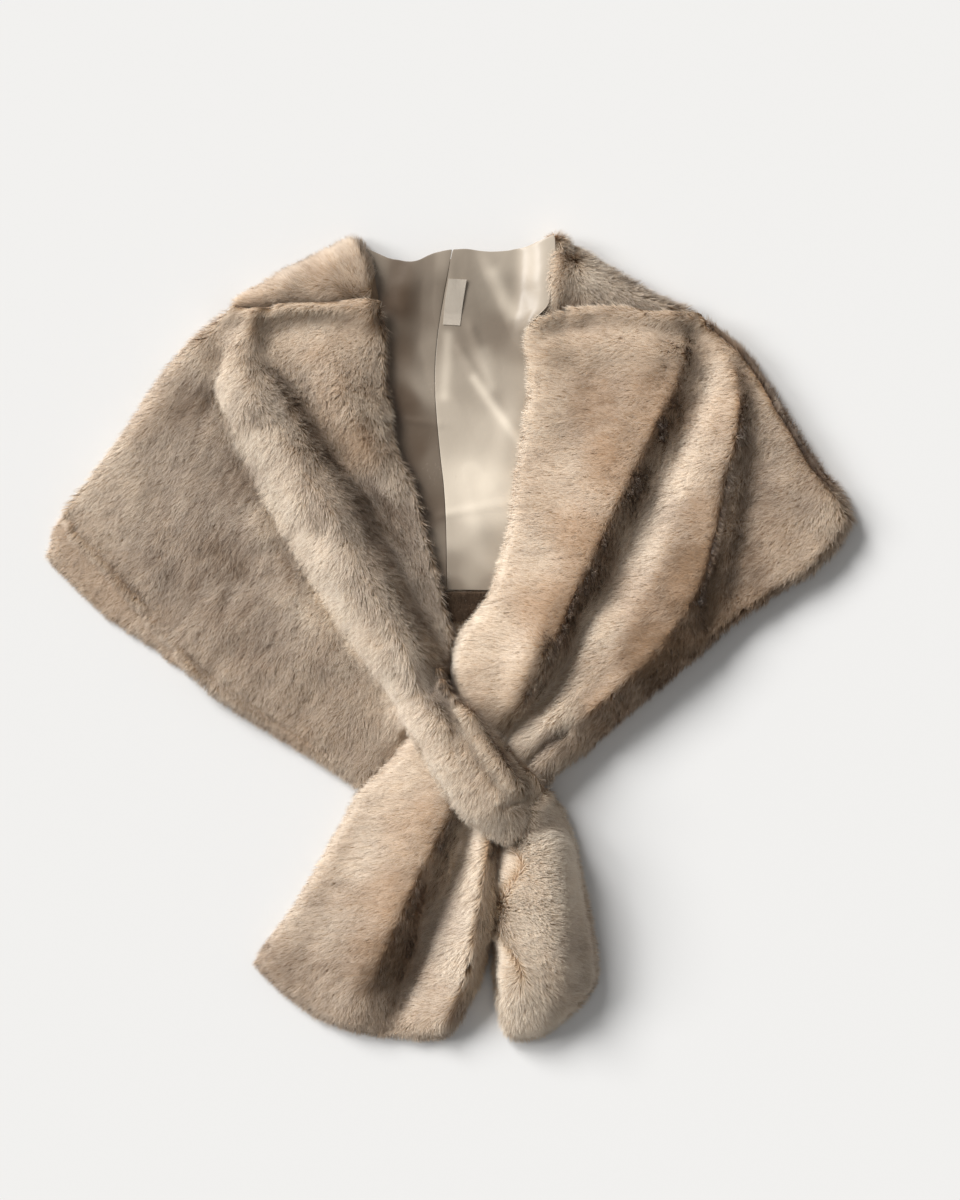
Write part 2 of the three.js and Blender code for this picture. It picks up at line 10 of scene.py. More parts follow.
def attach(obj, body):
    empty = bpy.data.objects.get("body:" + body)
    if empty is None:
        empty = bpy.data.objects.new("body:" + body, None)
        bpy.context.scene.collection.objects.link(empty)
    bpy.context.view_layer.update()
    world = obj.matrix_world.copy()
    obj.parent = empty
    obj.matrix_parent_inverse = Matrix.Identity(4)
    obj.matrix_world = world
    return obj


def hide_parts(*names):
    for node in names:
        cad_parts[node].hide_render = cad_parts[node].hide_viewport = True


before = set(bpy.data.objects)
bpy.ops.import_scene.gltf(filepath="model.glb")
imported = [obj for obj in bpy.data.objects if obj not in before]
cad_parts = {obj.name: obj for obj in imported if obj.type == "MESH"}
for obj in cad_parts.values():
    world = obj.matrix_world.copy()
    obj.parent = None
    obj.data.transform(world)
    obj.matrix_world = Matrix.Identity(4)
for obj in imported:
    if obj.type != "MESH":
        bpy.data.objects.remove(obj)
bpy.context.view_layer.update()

MM = 0.001
PIXEL = 1.05 * MM                # one pixel of the photograph, measured on the floor
ORIGIN_PIXEL = (450.7, 636.1)    # the pixel that lies over the origin
PILE_DEPTH = 6.5 * MM            # how far the backing lies below the top of the fur
PILE_LENGTH = 13.5 * MM
SEAM_REACH = 3 * MM              # how far a backing runs on at a seam, to meet its neighbour
SEAM_DEPTH = 7 * MM              # how far it lies below the top of the fur there
SEAM_WIDTH = 9 * MM
STRAND_WIDTH = 0.75 * MM
STRANDS = 790000                 # of all the backings' piles together
MOST_STRANDS = 190000            # in one piece
FACING_STRANDS = 3000
FACING_PILE = 5 * MM             # how long the hem facing's fur is


def from_picture(px, py):
    """The place on the floor under a pixel of the photograph."""
    return (px - ORIGIN_PIXEL[0]) * PIXEL, (ORIGIN_PIXEL[1] - py) * PIXEL


class Wander:
    """Smooth seeded noise over the plan, from -1 to 1, whose bumps are about one wavelength wide."""

    def __init__(self, seed, wavelength, cells=256):
        self.lattice = np.random.default_rng(seed).uniform(-1, 1, (cells, cells))
        self.wavelength = wavelength
        self.cells = cells

    def __call__(self, x, y):
        u = np.asarray(x) / self.wavelength
        v = np.asarray(y) / self.wavelength
        i = np.floor(u).astype(int)
        j = np.floor(v).astype(int)
        s = u - i
        t = v - j
        s = s * s * (3 - 2 * s)
        t = t * t * (3 - 2 * t)
        i, j, i1, j1 = (k % self.cells for k in (i, j, i + 1, j + 1))
        low = self.lattice[i, j] * (1 - s) + self.lattice[i1, j] * s
        high = self.lattice[i, j1] * (1 - s) + self.lattice[i1, j1] * s
        return low * (1 - t) + high * t


def unit(vectors):
    """Rows of vectors, each made one long."""
    return vectors / np.maximum(np.linalg.norm(vectors, axis=1, keepdims=True), 1e-9)


def eased(value, low, high):
    """0 below low, 1 above high, and smooth between them."""
    share = np.clip((value - low) / (high - low), 0, 1)
    return share * share * (3 - 2 * share)


class Ink:
    """One socket of a material's nodes, with the arithmetic that adds nodes."""

    def __init__(self, tree, socket):
        self.tree = tree
        self.socket = socket

    def node(self, kind, settings=None, **sockets):
        made = self.tree.nodes.new("ShaderNode" + kind)
        for key, value in (settings or {}).items():
            if key == "stops":
                ramp = made.color_ramp
                while len(ramp.elements) < len(value):
                    ramp.elements.new(0.5)
                for element, (place, colour) in zip(ramp.elements, value):
                    element.position = place
                    element.color = colour
            else:
                setattr(made, key, value)
        for key, value in sockets.items():
            wanted = key.replace("_", " ").strip()
            socket = made.inputs[int(wanted)] if wanted.isdigit() else made.inputs[wanted]
            if isinstance(value, Ink):
                self.tree.links.new(value.socket, socket)
            else:
                socket.default_value = value
        return made

    def out(self, made, name=0):
        return Ink(self.tree, made.outputs[name])

    def math(self, operation, other):
        return self.out(self.node("Math", {"operation": operation}, _0=self, _1=other))

    def __add__(self, other):
        return self.math("ADD", other)

    def __mul__(self, other):
        return self.math("MULTIPLY", other)

    def __sub__(self, other):
        return self.math("SUBTRACT", other)

    def __rsub__(self, other):
        return self * -1.0 + other

    __radd__ = __add__
    __rmul__ = __mul__

    def clamped(self):
        return self.out(self.node("Clamp", None, Value=self))

    def blend(self, first, second):
        """first where this is 0, second where it is 1."""
        made = self.node("Mix", {"data_type": "RGBA"}, Factor=self)
        for index, value in ((6, first), (7, second)):
            if isinstance(value, Ink):
                self.tree.links.new(value.socket, made.inputs[index])
            else:
                made.inputs[index].default_value = value
        return self.out(made, 2)

    def ramp(self, stops):
        return self.out(self.node("ValToRGB", {"stops": stops}, Fac=self))

    def noise(self, scale, detail=3.0, roughness=0.5):
        """Noise over this vector."""
        made = self.node("TexNoise", None, Vector=self, Scale=scale, Detail=detail, Roughness=roughness)
        return self.out(made, 0)


def colour(red, green, blue):
    """A colour given as it is seen on the screen, 0 to 255, as the shader wants it."""
    linear = [c / 255 / 12.92 if c <= 10 else ((c / 255 + 0.055) / 1.055) ** 2.4 for c in (red, green, blue)]
    return (*linear, 1.0)


def new_material(name, roughness):
    """A material with its principled shader, and the place on the piece that its patterns are drawn from."""
    made = bpy.data.materials.new(name)
    made.use_nodes = True
    tree = made.node_tree
    shader = tree.nodes["Principled BSDF"]
    shader.inputs["Roughness"].default_value = roughness
    place = Ink(tree, tree.nodes.new("ShaderNodeTexCoord").outputs["Object"])
    return made, shader, place


def joined_to(shader, name, ink):
    ink.tree.links.new(ink.socket, shader.inputs[name])


def raised(shader, height, distance, strength):
    """A bump on the shader from a height."""
    bump = height.node("Bump", None, Height=height, Distance=distance, Strength=strength)
    height.tree.links.new(bump.outputs["Normal"], shader.inputs["Normal"])


ROOT_BROWN = colour(166, 132, 98)
# The lowest stops of the tips' and shafts' ramps are painted shade: the dark brown of pile in shaded hollows
TIPS = [(0.0, colour(150, 130, 111)), (0.33, colour(213, 196, 179)), (1.0, colour(253, 241, 223))]
SHAFTS = [(0.0, colour(118, 96, 74)), (0.33, colour(174, 152, 128)), (1.0, colour(222, 198, 168))]
RUFFLED_TAN = colour(192, 155, 118)
BACKING_DEEP = colour(120, 98, 76)
BACKING_PALE = colour(172, 147, 122)
# The hem facing's fur, darkened with painted shadow, as it lies in the shade under the fur above it
FACING_SHADOW_DEEP = colour(52, 39, 27)
FACING_SHADOW_PALE = colour(98, 77, 58)
# The satin's colours in painted shade and in painted light, which its painted light attribute blends
SATIN_SHADED = colour(86, 69, 53)
SATIN_LIT = colour(232, 218, 198)
TAPE_DEEP = colour(186, 174, 158)
TAPE_PALE = colour(214, 202, 186)


def pile_material():
    """Strands: brown at the root and pale at the tip, in shades that the pile's tone picks, which carries painted
    shade and painted light, and a warmer tan where the pile is ruffled."""
    made, shader, place = new_material("faux_fur_pile", 0.62)
    values = place.node("Attribute", {"attribute_name": "pile"})
    parts = place.node("SeparateColor")
    place.tree.links.new(values.outputs["Color"], parts.inputs[0])
    along = place.out(parts, 0)
    tone_and_shade = place.out(parts, 1)
    warmth = place.out(parts, 2)
    tips = tone_and_shade.ramp(TIPS)
    shafts = tone_and_shade.ramp(SHAFTS)
    lower = (along * 2.2).clamped().blend(ROOT_BROWN, shafts)
    whole = ((along - 0.42) * 1.9).clamped().blend(lower, tips)
    joined_to(shader, "Base Color", warmth.blend(whole, RUFFLED_TAN))
    shader.inputs["Sheen Weight"].default_value = 0.15
    shader.inputs["Sheen Roughness"].default_value = 0.5
    shader.inputs["Specular IOR Level"].default_value = 0.3
    return made


def backing_material(name, deep, pale):
    """The cloth between the roots, and the underside of the fur."""
    made, shader, place = new_material(name, 0.95)
    patches = place.noise(38.0)
    fibres = place.noise(620.0, 2.0)
    joined_to(shader, "Base Color", (patches * 0.6 + fibres * 0.4).blend(deep, pale))
    raised(shader, fibres, 0.002, 0.6)
    return made


def satin_material():
    """Satin between a shaded and a lit colour, as its attribute of painted light and shade says, with a fine
    weave.
    """
    made, shader, place = new_material("lining_satin", 0.34)
    light = place.out(place.node("Attribute", {"attribute_name": "light"}), "Fac")
    weave = place.noise(1400.0, 1.0)
    clouds = place.noise(14.0)
    joined_to(shader, "Base Color", (light + clouds * 0.16 - 0.08).clamped().blend(SATIN_SHADED, SATIN_LIT))
    joined_to(shader, "Roughness", weave * 0.08 + clouds * 0.1 + 0.28)
    raised(shader, place.noise(46.0, 3.0) + weave * 0.02, 0.0016, 0.25)
    shader.inputs["Sheen Weight"].default_value = 0.2
    shader.inputs["Specular IOR Level"].default_value = 0.45
    return made


def label_material():
    """Bare woven tape: fine ribs across and along."""
    made, shader, place = new_material("woven_label_tape", 0.6)
    across = place.out(place.node("TexWave", {"wave_type": "BANDS", "bands_direction": "Y"}, Vector=place,
                                  Scale=520.0, Distortion=0.4))
    along = place.out(place.node("TexWave", {"wave_type": "BANDS", "bands_direction": "X"}, Vector=place,
                                 Scale=700.0, Distortion=0.4))
    joined_to(shader, "Base Color", across.blend(TAPE_DEEP, TAPE_PALE))
    raised(shader, across * along, 0.0004, 0.5)
    return made


fur = pile_material()
backing = backing_material("faux_fur_backing", BACKING_DEEP, BACKING_PALE)
facing_fur_in_shadow = backing_material("facing_fur_painted_shadow", FACING_SHADOW_DEEP, FACING_SHADOW_PALE)
satin = satin_material()
tape = label_material()


def points_of(mesh):
    values = np.empty(len(mesh.vertices) * 3, np.float64)
    mesh.vertices.foreach_get("co", values)
    return values.reshape(-1, 3)


def normals_of(mesh):
    values = np.empty(len(mesh.vertices) * 3, np.float64)
    mesh.vertex_normals.foreach_get("vector", values)
    return values.reshape(-1, 3)


def corners_of(mesh):
    """The three points of each triangle, by number."""
    mesh.calc_loop_triangles()
    corners = np.empty(len(mesh.loop_triangles) * 3, np.int32)
    mesh.loop_triangles.foreach_get("vertices", corners)
    return corners.reshape(-1, 3)


def triangle_areas(sides):
    """The area of each triangle, from the places of its three corners."""
    return np.linalg.norm(np.cross(sides[:, 1] - sides[:, 0], sides[:, 2] - sides[:, 0]), axis=1) / 2


def moved(mesh, places):
    """Puts the mesh's points at new places."""
    mesh.vertices.foreach_set("co", places.astype(np.float32).ravel())
    mesh.update()


def copy_of(node, name):
    """A new object with the node's mesh, its split corners joined."""
    piece = bpy.data.objects.new(name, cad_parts[node].data.copy())
    bpy.context.collection.objects.link(piece)
    work = bmesh.new()
    work.from_mesh(piece.data)
    bmesh.ops.remove_doubles(work, verts=work.verts, dist=0.02 * MM)
    work.to_mesh(piece.data)
    work.free()
    return piece


def applied(piece):
    """Puts the result of the modifiers into the mesh."""
    held = bpy.context.evaluated_depsgraph_get()
    mesh = bpy.data.meshes.new_from_object(piece.evaluated_get(held))
    piece.modifiers.clear()
    piece.data = mesh
    mesh.shade_smooth()


def made_hollow(piece, wall):
    """Gives a closed form an inner side, because it is a tube of folded cloth."""
    inner = piece.modifiers.new("inner side", "SOLIDIFY")
    inner.thickness = wall
    inner.offset = -1
    applied(piece)


# Creases of the fur: width and depth in mm, then the pixels that the crease runs through. A ridge is less
# than nothing deep.
FUR_CREASES = {
    "left_front": [
        (6, 5, (222, 352), (214, 392), (238, 449), (267, 504), (299, 563), (332, 618), (364, 666), (390, 706)),
        (6, 5, (60, 514), (66, 520), (100, 560), (140, 600), (150, 632), (172, 647), (192, 658), (245, 695),
         (280, 725), (325, 752)),
        (5, 3, (452, 690), (457, 715), (462, 745)),
        (13, -12, (468, 716), (490, 750), (514, 786)),
        (4, 6, (507, 797), (528, 791), (549, 786)),
    ],
    "right_front": [
        (6, 13, (566, 728), (547, 743), (526, 764)),
        (5, 7, (540, 680), (528, 712), (508, 742)),
        (16, -11, (606, 626), (577, 678), (548, 721)),
        (16, -9, (537, 648), (522, 700)),
        (9, 6, (735, 470), (722, 540), (714, 585), (712, 622)),
        (24, -8, (560, 347), (610, 345), (650, 347)),
    ],
    "right_tail": [(9, 6, (434, 880), (425, 950), (405, 1010))],
    "left_tail": [(17, -12, (547, 850), (553, 900), (556, 985))],
    "back_panel": [(10, -9, (559, 236), (557, 314))],
}

# Where two fur pieces meet edge to edge: the shoulder seams, the band's seam to its tail, and the two tails
FUR_SEAMS = [
    [(235, 306), (271, 308), (326, 304), (382, 301)],
    [(562, 314), (593, 309), (671, 316), (697, 314)],
    [(505, 837), (520, 829), (525, 818), (524, 806), (534, 796), (547, 787)],
    [(504, 850), (499, 880), (497, 930)],
]


def near_line(x, y, pixels, width):
    """1 on a line through pixels, falling off beside it over a width in metres."""
    turns = [from_picture(*pixel) for pixel in pixels]
    nearest = np.full(len(x), np.inf)
    for (x0, y0), (x1, y1) in zip(turns, turns[1:]):
        run = (x1 - x0) ** 2 + (y1 - y0) ** 2
        share = np.clip(((x - x0) * (x1 - x0) + (y - y0) * (y1 - y0)) / run, 0, 1)
        away = (x - x0 - share * (x1 - x0)) ** 2 + (y - y0 - share * (y1 - y0)) ** 2
        nearest = np.minimum(nearest, away)
    return np.exp(-nearest / width ** 2)


def crease_at(node, x, y):
    """How deep the creases of a piece are at each place, in metres, less the height of its ridges."""
    return sum((depth * MM * near_line(x, y, pixels, width * MM)
                for width, depth, *pixels in FUR_CREASES.get(node, [])), np.zeros(len(x)))


def near_seam(x, y):
    """1 on a seam of the fur, falling off beside it."""
    return np.max([near_line(x, y, pixels, SEAM_WIDTH) for pixels in FUR_SEAMS], axis=0)


lumps = Wander(11, 34 * MM)
dents = Wander(12, 15 * MM)
LUMPS = 1.3 * MM                 # how high the soft lumps of the fur stand
SIDE_BEGINS = -0.45              # a side that faces up less than this is an underside
SIDE_ENDS = 0.15                 # and one that faces up more is an upper side
LOWEST_BACKING = 0.2 * MM


def backing_of(node, cell):
    """The cloth under the pile: the node's form in even cells, softened, its upper side sunk by the pile."""
    piece = copy_of(node, node + "_backing")
    even = piece.modifiers.new("even cells", "REMESH")
    even.mode = "VOXEL"
    even.voxel_size = cell
    soft = piece.modifiers.new("soft folds", "SMOOTH")
    soft.factor = 0.5
    soft.iterations = 7
    applied(piece)
    places = points_of(piece.data)
    normals = normals_of(piece.data)
    x, y = places[:, 0], places[:, 1]
    upper = eased(normals[:, 2], SIDE_BEGINS, SIDE_ENDS)
    swell = LUMPS * (lumps(x, y) + 0.5 * dents(x, y))
    sink = normals * (upper * (PILE_DEPTH + crease_at(node, x, y) - swell))[:, None]
    seam = near_seam(x, y)[:, None]
    sunk_seam = np.array([0, 0, 1]) * (upper * SEAM_DEPTH)[:, None] - SEAM_REACH * normals * [1, 1, 0]
    places -= sink * (1 - seam) + sunk_seam * seam
    places[:, 2] = np.maximum(places[:, 2], LOWEST_BACKING)
    moved(piece.data, places)
    piece.data.materials.clear()
    piece.data.materials.append(backing)
    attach(piece, "root")
    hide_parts(node)
    return piece


# How the pile lies: at a pixel of the photograph, the way it points in degrees from the viewer's right, how far
# it leans over from upright, its tone from -0.5, deep, to 1, pale, and how ruffled it is. The tone is partly the
# fur's own colour, partly painted shade, low in shaded hollows, flanks and under edges, and partly painted light,
# high on slopes and edges that the lamps leave dark.
PILE_LIES = {
    "back_panel": [
        (300, 270, 150, 46, 0.05, 0.4), (350, 250, 130, 42, 0.4, 0.5), (362, 285, 110, 42, 0.75, 0.5),
        (240, 298, 170, 48, 0.6, 0.5), (320, 300, 195, 50, 0.6, 0.5), (270, 303, 195, 50, 0.5, 0.5),
        (372, 298, 240, 48, 0.6, 0.6), (564, 260, 205, 50, 1.0, 0.45), (562, 300, 212, 54, 1.0, 0.4),
        (595, 280, 330, 48, 0.9, 0.3), (574, 244, 325, 58, 0.9, 0.1), (590, 256, 325, 58, 0.8, 0.1),
        (620, 275, 330, 48, 0.55, 0.3), (680, 300, 330, 50, 0.5, 0.4), (640, 305, 325, 50, 0.7, 0.4),
        (600, 305, 320, 50, 0.8, 0.4), (840, 480, 320, 52, 0.9, 0.3), (780, 370, 330, 52, 0.9, 0.3),
        (740, 320, 330, 52, 0.9, 0.3), (60, 560, 225, 44, 0.5, 0.55), (160, 640, 225, 44, 0.35, 0.6),
        (260, 720, 225, 46, 0.5, 0.5),
    ],
    "left_front": [
        (110, 480, 235, 56, 0.6, 0.15), (80, 540, 235, 50, 0.5, 0.45), (160, 400, 230, 52, 0.25, 0.3),
        (200, 340, 235, 50, 0.5, 0.35), (200, 470, 238, 58, 0.15, 0.15), (180, 560, 238, 58, -0.05, 0.25),
        (130, 590, 235, 52, 0.15, 0.5), (230, 560, 238, 54, -0.25, 0.25), (260, 640, 238, 54, 0.0, 0.3),
        (204, 400, 238, 54, -0.2, 0.2), (236, 470, 238, 54, -0.2, 0.25), (290, 560, 240, 50, 0.2, 0.3),
        (340, 660, 240, 48, 0.4, 0.4), (330, 740, 240, 46, 0.4, 0.5), (220, 680, 235, 50, 0.35, 0.5),
        (300, 740, 235, 48, 0.4, 0.6), (215, 350, 230, 52, 0.8, 0.3), (232, 392, 230, 54, 0.85, 0.15),
        (262, 440, 230, 54, 1.0, 0.1), (290, 500, 228, 54, 1.0, 0.1), (312, 545, 228, 54, 1.0, 0.15),
        (338, 600, 228, 54, 1.0, 0.15),
        (365, 640, 228, 48, 0.95, 0.35), (400, 690, 228, 48, 0.95, 0.4), (265, 410, 300, 50, 0.45, 0.3),
        (320, 500, 304, 52, 0.5, 0.3), (372, 590, 304, 52, 0.5, 0.3), (420, 670, 300, 52, 0.6, 0.35),
        (300, 330, 230, 46, 0.9, 0.5), (350, 320, 210, 46, 1.0, 0.5), (335, 395, 245, 42, 0.7, 0.9),
        (368, 392, 250, 44, 1.0, 0.5), (360, 440, 250, 42, 0.4, 1.0), (385, 360, 260, 48, 0.8, 0.5),
        (300, 400, 250, 46, 0.4, 0.6), (372, 500, 300, 54, -0.4, 0.2), (395, 520, 300, 52, -0.1, 0.3),
        (425, 600, 300, 52, 0.2, 0.25), (422, 648, 290, 50, 1.0, 0.3), (440, 666, 290, 60, -0.5, 0.0),
        (449, 681, 270, 60, -0.2, 0.0),
        (440, 630, 290, 50, 0.6, 0.3), (386, 420, 280, 50, 1.0, 0.3), (400, 480, 290, 50, 0.5, 0.3),
        (452, 740, 235, 50, 0.95, 0.3), (478, 790, 242, 50, 0.95, 0.35), (440, 765, 225, 48, 1.0, 0.4),
        (468, 815, 235, 48, 1.0, 0.4), (466, 705, 236, 56, 1.0, 0.05), (490, 745, 236, 56, 0.95, 0.05),
        (515, 778, 238, 56, 0.9, 0.05), (495, 822, 262, 50, 1.0, 0.35), (528, 806, 300, 46, 1.0, 0.4),
    ],
    "right_front": [
        (560, 330, 185, 50, 0.75, 0.35), (542, 322, 150, 60, 1.0, 0.25), (540, 400, 180, 54, 0.85, 0.25),
        (560, 480, 182, 54, 0.7, 0.3),
        (525, 560, 184, 54, 0.8, 0.25), (485, 640, 186, 54, 0.95, 0.3), (495, 700, 188, 52, 0.8, 0.35),
        (620, 340, 188, 50, 0.65, 0.4), (675, 335, 200, 46, 0.7, 0.5), (655, 400, 186, 44, 0.3, 0.9),
        (620, 460, 186, 42, 0.2, 1.0), (590, 540, 186, 42, 0.3, 1.0), (560, 610, 186, 42, 0.3, 1.0),
        (524, 690, 186, 48, 0.75, 0.6), (605, 410, 186, 46, -0.1, 0.7), (710, 380, 195, 54, 0.7, 0.3),
        (680, 470, 198, 54, 0.85, 0.25), (640, 540, 200, 54, 0.85, 0.25), (600, 620, 200, 54, 0.9, 0.25),
        (565, 680, 200, 52, 0.8, 0.4), (738, 400, 195, 48, 0.7, 0.5), (705, 520, 195, 46, 0.1, 0.7),
        (695, 575, 195, 44, -0.5, 0.8), (650, 645, 195, 44, -0.5, 0.8), (600, 710, 200, 46, 0.2, 0.9),
        (770, 430, 205, 50, 0.3, 0.4), (760, 500, 210, 50, -0.15, 0.4), (810, 490, 215, 50, 0.25, 0.4),
        (835, 505, 250, 46, 0.75, 0.5), (790, 545, 225, 46, 0.55, 0.5), (745, 565, 210, 50, -0.3, 0.4),
        (740, 600, 220, 44, -0.1, 0.8), (715, 615, 220, 44, -0.3, 0.8), (535, 735, 225, 54, 1.0, 0.1),
        (553, 741, 225, 50, -0.5, 0.2), (560, 712, 235, 50, 1.0, 0.2), (560, 755, 225, 48, 0.75, 0.6),
        (585, 745, 235, 46, 0.5, 0.7),
    ],
    "right_tail": [
        (400, 780, 190, 54, 0.65, 0.3), (360, 850, 188, 54, 0.5, 0.3), (320, 920, 190, 54, 0.3, 0.3),
        (280, 960, 200, 52, 0.0, 0.4), (320, 1010, 230, 50, 0.3, 0.4), (430, 830, 186, 44, 0.4, 0.85),
        (400, 890, 186, 44, 0.2, 0.85), (375, 960, 186, 44, -0.2, 0.7), (360, 1020, 240, 46, 0.4, 0.6),
        (470, 840, 186, 52, 0.85, 0.25), (455, 920, 188, 54, 0.4, 0.25), (435, 1000, 195, 52, 0.3, 0.35),
        (490, 880, 250, 50, 1.0, 0.3), (482, 950, 250, 50, 1.0, 0.3), (440, 1035, 270, 48, 0.6, 0.5),
    ],
    "left_tail": [
        (508, 870, 182, 52, 0.95, 0.2), (506, 960, 182, 52, 0.95, 0.2), (524, 880, 10, 58, 1.0, 0.2),
        (526, 950, 0, 58, 1.0, 0.2), (535, 815, 330, 46, 1.0, 0.3), (542, 850, 10, 48, 1.0, 0.2),
        (550, 890, 355, 48, 1.0, 0.2), (568, 930, 350, 50, 0.6, 0.2), (578, 980, 345, 50, 0.6, 0.2),
        (550, 970, 350, 48, 1.0, 0.25), (515, 1020, 260, 48, 1.0, 0.3), (545, 1025, 300, 48, 1.0, 0.3),
    ],
    "back_hem_facing": [(470, 596, 260, 60, 0.0, 0.1), (470, 612, 260, 60, -0.5, 0.1)],
}

wide_turn = Wander(21, 42 * MM)
near_turn = Wander(22, 13 * MM)
tuft_x = Wander(23, 7.5 * MM)
tuft_y = Wander(24, 7.5 * MM)
curl_x = Wander(29, 3.6 * MM)
curl_y = Wander(30, 3.6 * MM)
lock_x = Wander(25, 19 * MM)
lock_y = Wander(26, 19 * MM)
tone_patch = Wander(27, 27 * MM)
tone_streak = Wander(28, 3.6 * MM)
WISP_STEP = 3 * MM
WISP_STEPS = 7                   # how many steps long the wisps are
LIE_REACH = 9 * MM


def from_nearest(rows, x, y, reach):
    """The values of a table's rows, mixed at each place by how near each row's pixel is. A row is a pixel and
    its values, and reach is how wide it holds before the next one mixes in."""
    total = np.zeros(len(x))
    sums = np.zeros((len(rows[0]) - 2, len(x)))
    for px, py, *values in rows:
        row_x, row_y = from_picture(px, py)
        weight = 1 / ((x - row_x) ** 2 + (y - row_y) ** 2 + reach ** 2) ** 2
        for k, value in enumerate(values):
            sums[k] += weight * value
        total += weight
    return sums / total


def lie_at(rows, x, y):
    """Heading, lean, tone with its painted shade and light, and ruffle of the pile at each place."""
    turned = [(px, py, math.cos(math.radians(heading)), math.sin(math.radians(heading)), *others)
              for px, py, heading, *others in rows]
    across, up, lean, tone_and_shade, ruffle = from_nearest(turned, x, y, LIE_REACH)
    return np.arctan2(up, across), np.radians(lean), tone_and_shade, ruffle


def combed_streaks(x, y, heading):
    """Pale and dark wisps that run the way the pile lies, about -1 to 1."""
    steps = [(k - (WISP_STEPS - 1) / 2) * WISP_STEP for k in range(WISP_STEPS)]
    summed = sum(tone_streak(x + step * np.cos(heading), y + step * np.sin(heading)) for step in steps)
    return summed / math.sqrt(WISP_STEPS)


# Straight up, then eight ways round at each of two slopes
SKY_RAYS = [Vector((0, 0, 1))]
for slope in (1.0, 0.3):
    for eighth in range(8):
        turn = eighth * math.pi / 4
        SKY_RAYS.append(Vector((math.cos(turn), math.sin(turn), slope)).normalized())
SLANTED_SHARE = 0.7              # how thick the pile grows where only a slanted look reaches it
UNDERSIDE = -0.55                # a point that faces up less than this is never seen
GRAZING = 0.05                   # a look flatter than this along the surface doesn't count
LOOK_FROM = 1.5 * MM             # the height over the surface that a look starts from


def seen_from_outside(piece, everything):
    """How thick the pile grows at each point: 1 where the sky above shows, less under other cloth and at a
    seam's cut edge, and 0 where nobody sees it."""
    places = points_of(piece.data)
    normals = normals_of(piece.data)
    seen = np.zeros(len(places))
    for index, (place, normal) in enumerate(zip(places, normals)):
        if normal[2] < UNDERSIDE:
            continue
        start = Vector(place + normal * LOOK_FROM)
        outward = Vector(normal)
        for number, ray in enumerate(SKY_RAYS):
            if outward.dot(ray) < GRAZING:
                continue
            if everything.ray_cast(start, ray)[0] is None:
                seen[index] = 1.0 if number == 0 else SLANTED_SHARE
                break
    edges = np.empty(len(piece.data.edges) * 2, np.int32)
    piece.data.edges.foreach_get("vertices", edges)
    one, other = edges.reshape(-1, 2).T
    for _ in range(2):
        spread = seen.copy()
        np.maximum.at(spread, one, SLANTED_SHARE * seen[other])
        np.maximum.at(spread, other, SLANTED_SHARE * seen[one])
        seen = spread
    cut_edge = near_seam(places[:, 0], places[:, 1]) * (1 - eased(normals[:, 2], 0.3, 0.7))
    return seen * (1 - cut_edge)


def strands_mesh(name, blades, values, normals):
    """A mesh of narrow blades: three corners each, with a colour attribute and a normal for each corner."""
    count = len(blades)
    mesh = bpy.data.meshes.new(name)
    mesh.vertices.add(count * 3)
    mesh.vertices.foreach_set("co", blades.astype(np.float32).ravel())
    mesh.loops.add(count * 3)
    mesh.loops.foreach_set("vertex_index", np.arange(count * 3, dtype=np.int32))
    mesh.polygons.add(count)
    mesh.polygons.foreach_set("loop_start", np.arange(count, dtype=np.int32) * 3)
    mesh.update(calc_edges=True)
    paint = mesh.color_attributes.new("pile", "FLOAT_COLOR", "POINT")
    paint.data.foreach_set("color", values.astype(np.float32).ravel())
    flat = mesh.uv_layers.new(name="OFBake")
    plan = blades.reshape(-1, 3)[:, :2]
    low = plan.min(0)
    flat.data.foreach_set("uv", ((plan - low) / (plan.max(0) - low).max()).astype(np.float32).ravel())
    mesh.shade_smooth()
    mesh.normals_split_custom_set_from_vertices(normals.reshape(-1, 3).tolist())
    return mesh


# How strands leave the lie of the pile: what they do where it is combed flat, and what full ruffling adds
WIDE_TURN = 16                   # degrees that the heading wanders over a hand's breadth
NEAR_TURN = (6, 12)              # degrees that it wanders from tuft to tuft
STRAY_TURN = (7, 14)             # degrees from strand to strand
NEAR_LEAN = 8                    # degrees that the lean wanders from tuft to tuft
STRAY_LEAN = 5
TUFT_PULL = (0.04, 0.1)          # how strongly tufts draw the strands together
CURL_PULL = (0.02, 0.3)          # how strongly the tips curl
SHORTENED = 0.3                  # how much shorter ruffled pile looks
LOWEST_TIP = 0.6 * MM            # above the floor
PATCH_TONE = 0.1
WISP_TONE = 0.22
STRAY_TONE = 0.12
DEEPEST_PAINTED_SHADE = -0.5


def by_ruffle(pair, ruffle):
    """A value where the pile is combed flat, and what ruffling adds to it."""
    return pair[0] + pair[1] * ruffle


